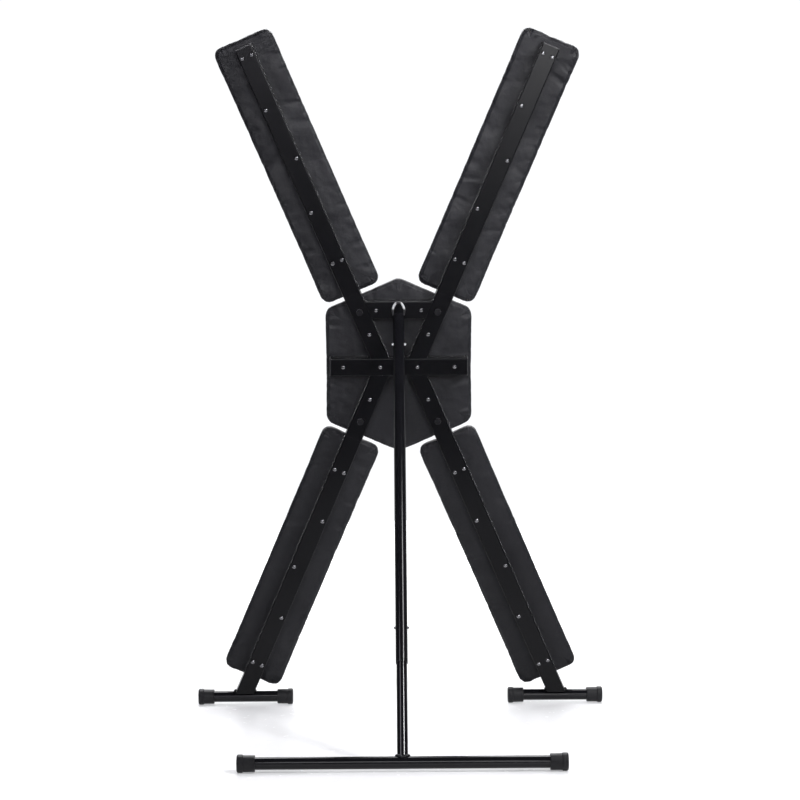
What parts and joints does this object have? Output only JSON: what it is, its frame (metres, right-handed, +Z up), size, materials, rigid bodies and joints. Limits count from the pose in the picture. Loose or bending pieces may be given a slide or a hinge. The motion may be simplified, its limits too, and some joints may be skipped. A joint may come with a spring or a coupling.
{
  "type": "padded X-shaped standing frame",
  "caption": "Free-standing X-shaped square-tube frame with a padded panel on each arm and at the middle, leaning back on a rear strut with a cross tube.",
  "frame": {"origin": "middle of the footprint, on the floor", "axes": "+Z up; the padded front faces -Y and the rear leg reaches towards +Y; +X is to the right of a person who faces the pads"},
  "size_m": [1.188, 1.0514, 1.953],
  "materials": {
    "frame_paint": "satin black powder coat",
    "tube_gloss": "gloss black powder coat",
    "bare_steel": "bare zinc-plated",
    "bright_steel": "bright nickel plate",
    "bolt_black": "dark zinc with worn edges",
    "spring_steel": "oiled spring steel",
    "plug_plastic": "moulded black polyethylene",
    "cap_rubber": "matte black moulded rubber",
    "plywood": "raw plywood",
    "foam": "open-cell upholstery foam",
    "vinyl": "grained black upholstery vinyl"
  },
  "bodies": {
    "rear_base": {"base_tube": "tube_gloss", "leg_riser": "tube_gloss", "base_cap_left": "cap_rubber", "base_cap_right": "cap_rubber", "lower_snap_spring": "spring_steel"},
    "leg": {"leg_tube": "tube_gloss"},
    "cross": {"crossbar": "frame_paint", "bridge_bar": "frame_paint", "leg_spigot": "frame_paint", "hub_stub_upper_right": "frame_paint", "hub_stub_upper_left": "frame_paint", "hub_stub_lower_right": "frame_paint", "hub_stub_lower_left": "frame_paint", "arm_bar_upper_right": "frame_paint", "arm_bar_upper_left": "frame_paint", "arm_bar_lower_right": "frame_paint", "arm_bar_lower_left": "frame_paint", "arm_spigot_upper_right": "bare_steel", "arm_spigot_upper_left": "bare_steel", "arm_spigot_lower_right": "bare_steel", "arm_spigot_lower_left": "bare_steel", "crossbar_end_plugs": "plug_plastic", "arm_end_plugs": "plug_plastic", "foot_tube_left": "tube_gloss", "foot_tube_right": "tube_gloss", "foot_cap_left_outer": "cap_rubber", "foot_cap_left_inner": "cap_rubber", "foot_cap_right_outer": "cap_rubber", "foot_cap_right_inner": "cap_rubber", "arm_joint_bolts": "bolt_black", "arm_joint_washers": "bolt_black", "arm_joint_nuts": "bare_steel", "tee_nuts": "bare_steel", "upper_snap_spring": "spring_steel", "torso_screws": "bright_steel", "upper_right_screws": "bright_steel", "upper_left_screws": "bright_steel", "lower_right_screws": "bright_steel", "lower_left_screws": "bright_steel", "torso_board": "plywood", "upper_right_board": "plywood", "upper_left_board": "plywood", "lower_right_board": "plywood", "lower_left_board": "plywood", "torso_foam": "foam", "upper_right_foam": "foam", "upper_left_foam": "foam", "lower_right_foam": "foam", "lower_left_foam": "foam", "torso_cover": "vinyl", "upper_right_cover": "vinyl", "upper_left_cover": "vinyl", "lower_right_cover": "vinyl", "lower_left_cover": "vinyl"},
    "upper_button_left": {"upper_snap_button_left": "bright_steel"},
    "upper_button_right": {"upper_snap_button_right": "bright_steel"},
    "lower_button_left": {"lower_snap_button_left": "bright_steel"},
    "lower_button_right": {"lower_snap_button_right": "bright_steel"}
  },
  "joints": [
    {"name": "lower_leg_slide", "type": "slide", "parent": "rear_base", "child": "leg", "axis": [0, -0.5614, 0.8275], "range_m": [0, 0.12], "deforming": ["lower_snap_button_left", "lower_snap_button_right", "lower_snap_spring"]},
    {"name": "upper_leg_slide", "type": "slide", "parent": "leg", "child": "cross", "axis": [0, -0.5614, 0.8275], "range_m": [0, 0.12], "deforming": ["upper_snap_button_left", "upper_snap_button_right", "upper_snap_spring"]},
    {"name": "lower_button_left_press", "type": "slide", "parent": "rear_base", "child": "lower_button_left", "axis": [1, 0, 0], "range_m": [0, 0.0065], "stiffness_N_per_m": 2000, "springref_m": -0.002, "deforming": ["lower_snap_spring"]},
    {"name": "lower_button_right_press", "type": "slide", "parent": "rear_base", "child": "lower_button_right", "axis": [-1, 0, 0], "range_m": [0, 0.0065], "stiffness_N_per_m": 2000, "springref_m": -0.002, "deforming": ["lower_snap_spring"]},
    {"name": "upper_button_left_press", "type": "slide", "parent": "cross", "child": "upper_button_left", "axis": [1, 0, 0], "range_m": [0, 0.0065], "stiffness_N_per_m": 2000, "springref_m": -0.002, "deforming": ["upper_snap_spring"]},
    {"name": "upper_button_right_press", "type": "slide", "parent": "cross", "child": "upper_button_right", "axis": [-1, 0, 0], "range_m": [0, 0.0065], "stiffness_N_per_m": 2000, "springref_m": -0.002, "deforming": ["upper_snap_spring"]}
  ]
}
